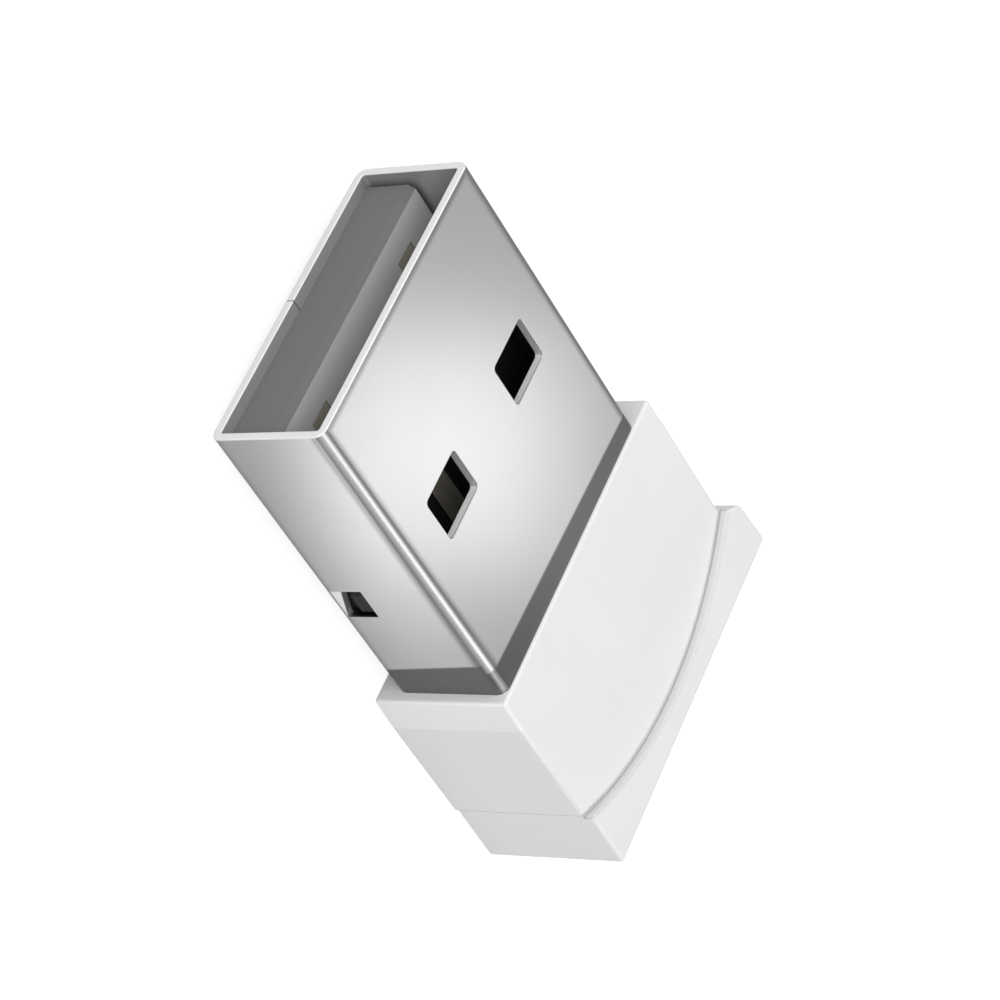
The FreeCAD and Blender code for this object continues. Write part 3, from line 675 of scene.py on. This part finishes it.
def top_light_mask(finish):
    """One on the faces near the nose that look up, painted lighter: painted light on the tongue's top."""
    start, end = UPWARD_FADE
    return finish.product(nose_light_mask(finish), finish.ramp(finish.facing()["Z"], 0.0, 1.0, start, end))


def cap_lip_shade(finish):
    """Height over the housing's top on the cap's curved front lip, and a mask of that lip, where shade is
    painted.
    """
    size = sizes()
    low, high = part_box("housing")
    centre, radius = joint_circle(low[1], high[1], high[0] - size.joint_bow, size.joint_bow)
    flat = finish.vector("MULTIPLY", finish.place(), (1.0, 1.0, 0.0))["Vector"]
    reach = finish.vector("DISTANCE", flat, (*centre, 0.0))["Value"]
    behind_round = finish.difference(reach, radius + size.grip_round)
    height = finish.difference(finish.axes(finish.place())["Z"], high[2])
    over = finish.past(height, CAP_LIP_FOOT_FADE)
    return height, finish.product(finish.before(behind_round, CAP_LIP_FADE), over)


def cap_lip_shade_mask(finish):
    """One on the cap's front lip above the housing, darkened with painted shade."""
    return cap_lip_shade(finish)[1]


def joint_shade_line_mask(finish):
    """One in the dark line at the lip's foot, where the cap meets the housing's top: painted shade in the
    crease.
    """
    height, lip = cap_lip_shade(finish)
    return finish.product(lip, finish.before(height, JOINT_LINE_FADE))


def contact_finish():
    """Gold flash with rubbed streaks along the contact."""
    finish = Finish("contact_gold")
    base = colours().contact
    marks = finish.group("handling_marks", {"Scale": 700.0, "Stretch": 5.0})["Value"]
    worn = finish.ramp(marks, 0.0, 1.0, start=0.35, end=0.8)
    finish.set({
        "Base Color": finish.blend(worn, base, shade(base, 0.88)),
        "Metallic": 0.4,
        "Roughness": finish.ramp(marks, 0.32, 0.4),
    })
    grain = finish.group("fine_grain", {"Scale": 5000.0})
    finish.bump(grain["Height"], distance=0.001 * MM, strength=0.1)
    return finish.material


def board_finish():
    """Green solder mask over faint copper runs."""
    finish = Finish("board_mask")
    base = colours().board
    cells = finish.node(
        "ShaderNodeTexVoronoi", {"Vector": finish.place(), "Scale": 1400.0}, feature="DISTANCE_TO_EDGE"
    )
    copper = finish.ramp(cells["Distance"], 1.0, 0.0, start=0.05, end=0.09)
    finish.set({"Base Color": finish.blend(copper, base, shade(base, 1.7)), "Roughness": 0.3, "IOR": 1.52})
    finish.bump(copper, distance=0.01 * MM, strength=0.5)
    return finish.material


def speckled_finish(name, base, roughness, metallic):
    """Ceramic, moulding compound or tin: a fine two-tone speckle."""
    finish = Finish(name)
    grain = finish.group("fine_grain", {"Scale": 7000.0, "Coarse share": 0.2})
    finish.set({
        "Base Color": finish.blend(finish.ramp(grain["Mask"], 0.0, 1.0), shade(base, 0.8), shade(base, 1.2)),
        "Metallic": metallic,
        "Roughness": finish.ramp(grain["Mask"], roughness - 0.05, roughness + 0.05),
    })
    finish.bump(grain["Height"], distance=0.003 * MM, strength=0.3)
    return finish.material


def dress_node(node, material):
    """Gives a carried-over CAD node its finish."""
    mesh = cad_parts[node].data
    if not mesh.materials:
        mesh.materials.append(material)
    for index in range(len(mesh.materials)):
        mesh.materials[index] = material


# Window cutters, repeated by geometry nodes

def window_tree():
    """Four flared cutters, two over and two under the plug, from one filleted outline."""
    tree = bpy.data.node_groups.new("window_cutters", "GeometryNodeTree")
    tree.interface.new_socket("Geometry", in_out="INPUT", socket_type="NodeSocketGeometry")
    for label in ("Length", "Width", "Corner", "Spacing", "Reach", "Lip", "Over"):
        tree.interface.new_socket(label, in_out="INPUT", socket_type="NodeSocketFloat")
    tree.interface.new_socket("Geometry", in_out="OUTPUT", socket_type="NodeSocketGeometry")

    def node(kind, inputs=None, **settings):
        return add_node(tree, kind, inputs, **settings).outputs

    given = node("NodeGroupInput")
    sides = {"Width": given["Length"], "Height": given["Width"]}
    outline = node("GeometryNodeCurvePrimitiveQuadrilateral", sides)
    corners = {"Curve": outline["Curve"], "Radius": given["Corner"], "Count": WINDOW_CORNER_STEPS}
    fillet = node("GeometryNodeFilletCurve", corners, mode="POLY")
    shape, faces = node("GeometryNodeFillCurve", {"Curve": fillet["Curve"]}, mode="NGONS")["Mesh"], True
    for reach, flared in (("Reach", False), ("Lip", True), ("Over", False)):
        ahead = {"Mesh": shape, "Selection": faces, "Offset Scale": given[reach]}
        rise = node("GeometryNodeExtrudeMesh", ahead, mode="FACES")
        shape, faces = rise["Mesh"], rise["Top"]
        if flared:
            share = node("ShaderNodeMath", {0: given["Lip"], 1: given["Width"]}, operation="DIVIDE")
            grow = node("ShaderNodeMath", {0: share[0], 1: 2.0, 2: 1.0}, operation="MULTIPLY_ADD")
            wider = {"Geometry": shape, "Selection": faces, "Scale": grow[0]}
            shape = node("GeometryNodeScaleElements", wider, domain="FACE")["Geometry"]
    half = node("ShaderNodeMath", {0: given["Spacing"], 1: -0.5}, operation="MULTIPLY")
    start = node("ShaderNodeCombineXYZ", {"Y": half[0]})
    step = node("ShaderNodeCombineXYZ", {"Y": given["Spacing"]})
    row = node("GeometryNodeMeshLine", {"Count": 2, "Start Location": start[0], "Offset": step[0]})
    joined = add_node(tree, "GeometryNodeJoinGeometry")
    for turn in (0.0, math.pi):
        copies = {"Points": row["Mesh"], "Instance": shape, "Rotation": (turn, 0.0, 0.0)}
        feed(tree, joined, {"Geometry": node("GeometryNodeInstanceOnPoints", copies)["Instances"]})
    solid = node("GeometryNodeRealizeInstances", {"Geometry": joined.outputs["Geometry"]})
    plated = {"Geometry": solid["Geometry"], "Material": bpy.data.materials["plug_plate"]}
    node("NodeGroupOutput", {"Geometry": node("GeometryNodeSetMaterial", plated)["Geometry"]})
    return tree


def window_cutters(centre, half_height):
    size = sizes()
    cutters = new_piece("window_cutters", bpy.data.meshes.new("window_cutters"))
    modifier = cutters.modifiers.new("windows", "NODES")
    tree = window_tree()
    modifier.node_group = tree
    values = {
        "Length": size.window_length,
        "Width": size.window_width,
        "Corner": size.window_corner,
        "Spacing": size.window_spacing,
        "Reach": half_height - size.window_lip,
        "Lip": size.window_lip,
        "Over": size.sheet,
    }
    for item in tree.interface.items_tree:
        if item.name in values:
            modifier[item.identifier] = values[item.name]
    bake(cutters)
    cutters.data.transform(Matrix.Translation(centre))
    work = bmesh.new()
    work.from_mesh(cutters.data)
    bmesh.ops.remove_doubles(work, verts=work.verts, dist=1e-8)
    bmesh.ops.recalc_face_normals(work, faces=work.faces)
    work.to_mesh(cutters.data)
    work.free()
    return cutters


# The pieces

class DONGLE_OT_plug_shell(bpy.types.Operator):
    """Folded metal plug with its windows, side slots and dovetailed seam"""

    bl_idname = "dongle.plug_shell"
    bl_label = "Plug shell"

    def execute(self, context):
        size = sizes()
        low, high = (Vector(corner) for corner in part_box("plug_shell"))
        centre = (low + high) / 2
        half_width, half_height = (high.y - low.y) / 2, (high.z - low.z) / 2
        material = plate_finish()

        def ring(x, grow, width, height, radius):
            points = rounded_rectangle(width + grow, height + grow, radius + grow, BEND_STEPS)
            return [(x, centre.y + p.x, centre.z + p.y) for p in points]

        outer = (half_width, half_height, size.bend)
        inner = (half_width - size.sheet, half_height - size.sheet, size.bend - size.sheet)
        steps = [0.5 * math.pi * step / RIM_STEPS for step in range(RIM_STEPS + 1)]
        lip = size.rim_round
        mouth = [(low.x + lip * (1 - math.sin(a)), -lip * (1 - math.cos(a))) for a in reversed(steps)]
        shell = stack("plug_shell_skin", [
            *[ring(x, grow, *outer) for x, grow in mouth],
            ring(high.x, 0.0, *outer),
        ])
        hollow = stack("hollow", [
            ring(low.x - lip, lip, *inner),
            *[ring(x, -grow, *inner) for x, grow in mouth],
            ring(high.x + lip, 0.0, *inner),
        ])
        window_centre = Vector((low.x + size.window_front + size.window_length / 2, centre.y, centre.z))
        combine(shell, [
            hollow,
            window_cutters(window_centre, half_height),
            self.slot_cutter(low, high, centre),
            self.seam_cutter(low, high, centre),
        ], "DIFFERENCE")
        finish_shading(shell, material)
        place(shell, "plug_shell", "plug_metal")
        return {"FINISHED"}

    def slot_cutter(self, low, high, centre):
        """One bar through both sides; its lower edge slants, so a tab of sheet is left at the front."""
        size = sizes()
        front, rear = low.x + size.slot_front, low.x + size.slot_front + size.slot_length
        top = centre.z - size.slot_drop
        bottom = top - size.slot_height
        corners = [(rear, bottom), (rear, top), (front, top), (front, bottom + size.slot_tab)]
        sides = (low.y - size.sheet, high.y + size.sheet)
        return stack("slot", [[(x, y, z) for x, z in corners] for y in sides])

    def seam_cutter(self, low, high, centre):
        """A thin gap along the underside with a dovetail key."""
        size = sizes()
        gap, depth = size.seam_gap, size.seam_key_depth
        neck, head = size.seam_key_neck / 2, size.seam_key_head / 2
        key = low.x + size.seam_key_front + head
        ends = (low.x - size.sheet, high.x + size.sheet)
        near = [(ends[0], -gap / 2), (key - neck, -gap / 2), (key - head, depth)]
        near += [(key + head, depth), (key + neck, -gap / 2), (ends[1], -gap / 2)]
        far = [(ends[1], gap / 2), (key + neck + gap, gap / 2), (key + head + gap, depth + gap)]
        far += [(key - head - gap, depth + gap), (key - neck - gap, gap / 2), (ends[0], gap / 2)]
        levels = (low.z - size.sheet, low.z + 2 * size.sheet)
        return stack("seam", [[(x, centre.y + y, z) for x, y in near + far] for z in levels])


def joint_circle(near, far, x, bow):
    half = (far - near) / 2
    radius = (half ** 2 + bow ** 2) / (2 * bow)
    return (x + bow - radius, (near + far) / 2), radius


def joint_arc(near, far, x, bow):
    """The curved joint from its near end to its far end."""
    centre, radius = joint_circle(near, far, x, bow)
    spread = math.asin((far - near) / 2 / radius)
    return arc_points(centre, radius, -spread, spread, JOINT_STEPS)


class DONGLE_OT_housing(bpy.types.Operator):
    """White moulded grip, hollow, with the collar that holds the plug"""

    bl_idname = "dongle.housing"
    bl_label = "Housing"

    def execute(self, context):
        size = sizes()
        low, high = (Vector(corner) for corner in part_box("housing"))
        plug_low, plug_high = (Vector(corner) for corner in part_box("plug_shell"))
        front = plug_high.x
        joint = high.x - size.joint_bow
        lead = front + size.lead_length
        corner_before, corner_after = Vector((lead, high.y)), Vector((lead, low.y))
        near_corner = Vector((front, low.y + size.lead_taper))
        far_corner = Vector((front, high.y - size.lead_taper))
        outline = [
            *round_corner(far_corner, near_corner, corner_after, size.grip_round, CORNER_STEPS),
            corner_after,
            *joint_arc(low.y, high.y, joint, size.joint_bow),
            corner_before,
            *round_corner(corner_before, far_corner, near_corner, size.grip_round, CORNER_STEPS),
        ]
        housing = slab("housing_moulding", outline, low.z, high.z, size.grip_round)
        collar, aperture = self.collar(low, plug_low, plug_high, front)
        combine(housing, [collar], "UNION")
        hollow = block(
            "hollow",
            (front + size.wall, low.y + size.wall, low.z + size.wall),
            (high.x + size.wall, high.y - size.wall, high.z - size.wall),
        )
        combine(housing, [hollow, aperture], "DIFFERENCE")
        combine(housing, self.rails(low, high, front), "UNION")
        finish_shading(housing, plastic_finish(
            "housing_white", colours().housing, 0.45, [(lead_highlight_mask, colours().lead)]
        ))
        place(housing, "housing", "housing_plastic")
        return {"FINISHED"}

    def collar(self, low, plug_low, plug_high, front):
        """The ring that plugs into the metal shell, and the way through it for the board."""
        size = sizes()
        centre = (plug_low + plug_high) / 2
        radius = size.bend - size.sheet
        half = [side / 2 - size.sheet - size.clearance for side in (plug_high - plug_low)[1:]]

        def tube(name, start, end, shrink):
            points = rounded_rectangle(half[0] - shrink, half[1] - shrink, radius, BEND_STEPS // 2)
            return stack(name, [[(x, centre.y + p.x, centre.z + p.y) for p in points] for x in (start, end)])

        collar = tube("collar", low.x, front + size.wall / 2, 0.0)
        aperture = tube("aperture", low.x - size.wall, front + CUT_PAST * size.wall, size.collar_wall)
        return collar, aperture

    def rails(self, low, high, front):
        """Two ledges that the board's long edges lie on, sunk into the walls that hold them."""
        size = sizes()
        board_low, board_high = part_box("circuit_board")
        sunk = SUNK_IN * size.wall
        reach = size.wall + size.rail_width
        start, end = front + sunk, board_high[0] - size.rail_margin
        return [
            block("rail", (start, near, low.z + sunk), (end, far, board_low[2]))
            for near, far in ((low.y + sunk, low.y + reach), (high.y - reach, high.y - sunk))
        ]


class DONGLE_OT_end_cap(bpy.types.Operator):
    """White end cap behind the curved joint, with its ear and its spigot"""

    bl_idname = "dongle.end_cap"
    bl_label = "End cap"

    def execute(self, context):
        size = sizes()
        low, high = (Vector(corner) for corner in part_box("end_cap"))
        house_low, house_high = (Vector(corner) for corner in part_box("housing"))
        joint = house_high.x - size.joint_bow + size.joint_gap
        near, far = house_low.y, house_high.y
        near_rear = Vector((high.x, near - size.cap_flare))
        far_rear = Vector((high.x, high.y))
        shoulder = Vector((joint + size.ear_front, far + size.ear_shoulder))
        arc = joint_arc(near, far, joint, size.joint_bow)
        outline = [
            arc[0],
            *round_corner(arc[0], near_rear, far_rear, size.grip_round, CORNER_STEPS),
            *round_corner(near_rear, far_rear, shoulder, size.grip_round, CORNER_STEPS),
            *round_corner(far_rear, shoulder, arc[-1], size.ear_round, EAR_STEPS),
            *reversed(arc[1:]),
        ]
        cap = slab("end_cap_moulding", outline, low.z, high.z, size.grip_round)
        self.add_spigot(cap, house_low, house_high, low.x, high.x)
        finish_shading(cap, plastic_finish(
            "cap_white", colours().cap, 0.45,
            [(cap_lip_shade_mask, colours().cap_lip_shade), (joint_shade_line_mask, colours().joint_shade_line)],
        ))
        place(cap, "end_cap", "cap_plastic")
        return {"FINISHED"}

    def add_spigot(self, cap, house_low, house_high, front, rear):
        """The hollow plug of the cap that fits inside the housing."""
        size = sizes()
        inset_by = size.wall + size.clearance
        near, far = house_low.y + inset_by, house_high.y - inset_by
        floor, roof = house_low.z + inset_by, house_high.z - inset_by
        bow = size.joint_bow * ((far - near) / (house_high.y - house_low.y)) ** 2
        arc = joint_arc(near, far, front, bow)
        outline = [Vector((rear - size.wall / 2, near)), Vector((rear - size.wall / 2, far)), *reversed(arc)]
        combine(cap, [slab("spigot", outline, floor, roof)], "UNION")
        wall = size.spigot_wall
        combine(cap, [block(
            "hollow",
            (front - size.wall, near + wall, floor + wall),
            (rear - size.wall, far - wall, roof - wall),
        )], "DIFFERENCE")


class DONGLE_OT_inside(bpy.types.Operator):
    """Finishes of the tongue, the contacts, the board and its parts"""

    bl_idname = "dongle.inside"
    bl_label = "Inner parts"

    def execute(self, context):
        # The tongue's nose and top get painted light
        dress_node("contact_carrier", plastic_finish(
            "carrier_grey", colours().carrier, 0.5,
            [(nose_light_mask, colours().carrier_nose_light), (top_light_mask, colours().carrier_top_light)], gloss=0.2,
        ))
        gold = contact_finish()
        for node in CONTACTS:
            dress_node(node, gold)
        dress_node("circuit_board", board_finish())
        finishes = {name: speckled_finish(name, *look) for name, look in INNER_FINISHES.items()}
        for node, slot in INNER_PARTS.items():
            dress_node(node, finishes[slot])
        return {"FINISHED"}


# The studio

CAMERA_LENS = 130.765
CAMERA_SENSOR = 36.0
CAMERA_DISTANCE = 122.99 * MM
CAMERA_AIM = Vector((0.057, -0.048, 3.067)) * MM
CAMERA_HEADING = math.radians(41.01)
CAMERA_HEIGHT = math.radians(35.288)
CAMERA_ROLL = math.radians(89.347)
FLOOR_REACH = 3.0
FLOOR_COLOUR = (0.58, 0.58, 0.58, 1.0)
FLOOR_GLOW = 0.75
POOL_CENTRE = Vector((-1.9, -17.3, 0.0)) * MM
POOL_REACH = 11.0 * MM
POOL_LEVEL = 1.5
SURROUNDINGS_LEVEL = 0.45
WHITE = (1.0, 1.0, 1.0, 1.0)
MIDDLE = (0.0, 0.0, 0.003)

# Name, place, aim, power in watts, width, and whether it lights matt surfaces or is only mirrored
LAMPS = (
    ("key", (-0.08, 0.12, 0.27), MIDDLE, 0.43, 0.36, True),
    ("near_fill", (-0.06, -0.27, 0.13), MIDDLE, 0.36, 0.38, True),
    ("front_fill", (-0.2, -0.1, 0.17), MIDDLE, 0.26, 0.30, True),
    ("fold_glint", (0.154, -0.071, 0.184), MIDDLE, 0.083, 0.12, False),
    ("top_glow", (0.0103, 0.0113, 0.0225), (-0.00796, -0.004585, 0.0053), 0.00039, 0.0094, False),
)


def aim_matrix(eye, target, roll=0.0):
    back = (eye - target).normalized()
    turn = back.to_track_quat("Z", "Y").to_matrix().to_4x4()
    return Matrix.Translation(eye) @ turn @ Matrix.Rotation(roll, 4, "Z")


def add_lamp(name, eye, target, power, width, lights_matt):
    data = bpy.data.lights.new(name, "AREA")
    data.energy = power
    data.size = width
    lamp = bpy.data.objects.new(name, data)
    lamp.visible_camera = False
    lamp.visible_diffuse = lights_matt
    bpy.context.scene.collection.objects.link(lamp)
    lamp.matrix_world = aim_matrix(Vector(eye), Vector(target))


class DONGLE_OT_studio(bpy.types.Operator):
    """Pale floor, soft lamps, white surroundings and the camera"""

    bl_idname = "dongle.studio"
    bl_label = "Studio"

    def execute(self, context):
        self.floor()
        self.surroundings(context.scene)
        for lamp in LAMPS:
            add_lamp(*lamp)
        self.camera(context.scene)
        context.scene.view_settings.view_transform = "Standard"
        return {"FINISHED"}

    def floor(self):
        """Pale floor with a soft pool of light beside the plug, which its near side mirrors."""
        mesh = bpy.data.meshes.new("floor")
        turns = ((-1, -1), (1, -1), (1, 1), (-1, 1))
        corners = [(x * FLOOR_REACH, y * FLOOR_REACH, CAD_BOX[0][2]) for x, y in turns]
        mesh.from_pydata(corners, [], [(0, 1, 2, 3)])
        floor = new_piece("floor", mesh)
        finish = Finish("floor_white")
        path = finish.node("ShaderNodeLightPath")
        distance = finish.vector("DISTANCE", finish.place(), POOL_CENTRE)["Value"]
        pool = finish.ramp(distance, POOL_LEVEL, 0.0, start=0.0, end=POOL_REACH)
        seen = finish.product(path["Is Camera Ray"], FLOOR_GLOW)
        mirrored = finish.product(path["Is Glossy Ray"], pool)
        finish.set({
            "Base Color": FLOOR_COLOUR,
            "Roughness": 0.9,
            "Specular IOR Level": 0.0,
            "Emission Color": WHITE,
            "Emission Strength": finish.math("ADD", seen, mirrored),
        })
        mesh.materials.append(finish.material)

    def surroundings(self, scene):
        world = bpy.data.worlds.new("studio")
        world.use_nodes = True
        scene.world = world
        tree = world.node_tree
        seen = add_node(tree, "ShaderNodeLightPath").outputs["Is Camera Ray"]
        levels = {"Factor": seen, 2: SURROUNDINGS_LEVEL, 3: 1.0}
        level = add_node(tree, "ShaderNodeMix", levels, data_type="FLOAT")
        feed(tree, tree.nodes["Background"], {"Color": WHITE, "Strength": level.outputs[0]})

    def camera(self, scene):
        data = bpy.data.cameras.new("camera")
        data.lens = CAMERA_LENS
        data.sensor_width = CAMERA_SENSOR
        data.clip_start, data.clip_end = 0.001, 10.0
        ahead = Vector((
            math.cos(CAMERA_HEADING) * math.cos(CAMERA_HEIGHT),
            math.sin(CAMERA_HEADING) * math.cos(CAMERA_HEIGHT),
            -math.sin(CAMERA_HEIGHT),
        ))
        eye = CAMERA_AIM - ahead * CAMERA_DISTANCE
        camera = bpy.data.objects.new("camera", data)
        scene.collection.objects.link(camera)
        camera.matrix_world = aim_matrix(eye, CAMERA_AIM, CAMERA_ROLL)
        scene.camera = camera


class DONGLE_PT_panel(bpy.types.Panel):
    """Lists the pieces, their sizes and their colours"""

    bl_idname = "DONGLE_PT_panel"
    bl_label = "Wireless USB Dongle"
    bl_space_type = "VIEW_3D"
    bl_region_type = "UI"
    bl_category = "Dongle"

    def draw(self, context):
        for operator in OPERATORS:
            self.layout.operator(operator.bl_idname)
        for settings in (context.scene.dongle_sizes, context.scene.dongle_colours):
            column = self.layout.column()
            for key in settings.__annotations__:
                column.prop(settings, key)


OPERATORS = (
    DONGLE_OT_plug_shell,
    DONGLE_OT_housing,
    DONGLE_OT_end_cap,
    DONGLE_OT_inside,
    DONGLE_OT_studio,
)
CLASSES = (DongleSizes, DongleColours, *OPERATORS, DONGLE_PT_panel)


def register():
    for item in CLASSES:
        bpy.utils.register_class(item)
    bpy.types.Scene.dongle_sizes = bpy.props.PointerProperty(type=DongleSizes)
    bpy.types.Scene.dongle_colours = bpy.props.PointerProperty(type=DongleColours)


def unregister():
    del bpy.types.Scene.dongle_colours
    del bpy.types.Scene.dongle_sizes
    for item in reversed(CLASSES):
        bpy.utils.unregister_class(item)


def main():
    register()
    bpy.ops.dongle.plug_shell()
    bpy.ops.dongle.housing()
    bpy.ops.dongle.end_cap()
    bpy.ops.dongle.inside()
    bpy.ops.dongle.studio()


if __name__ == "__main__":
    main()
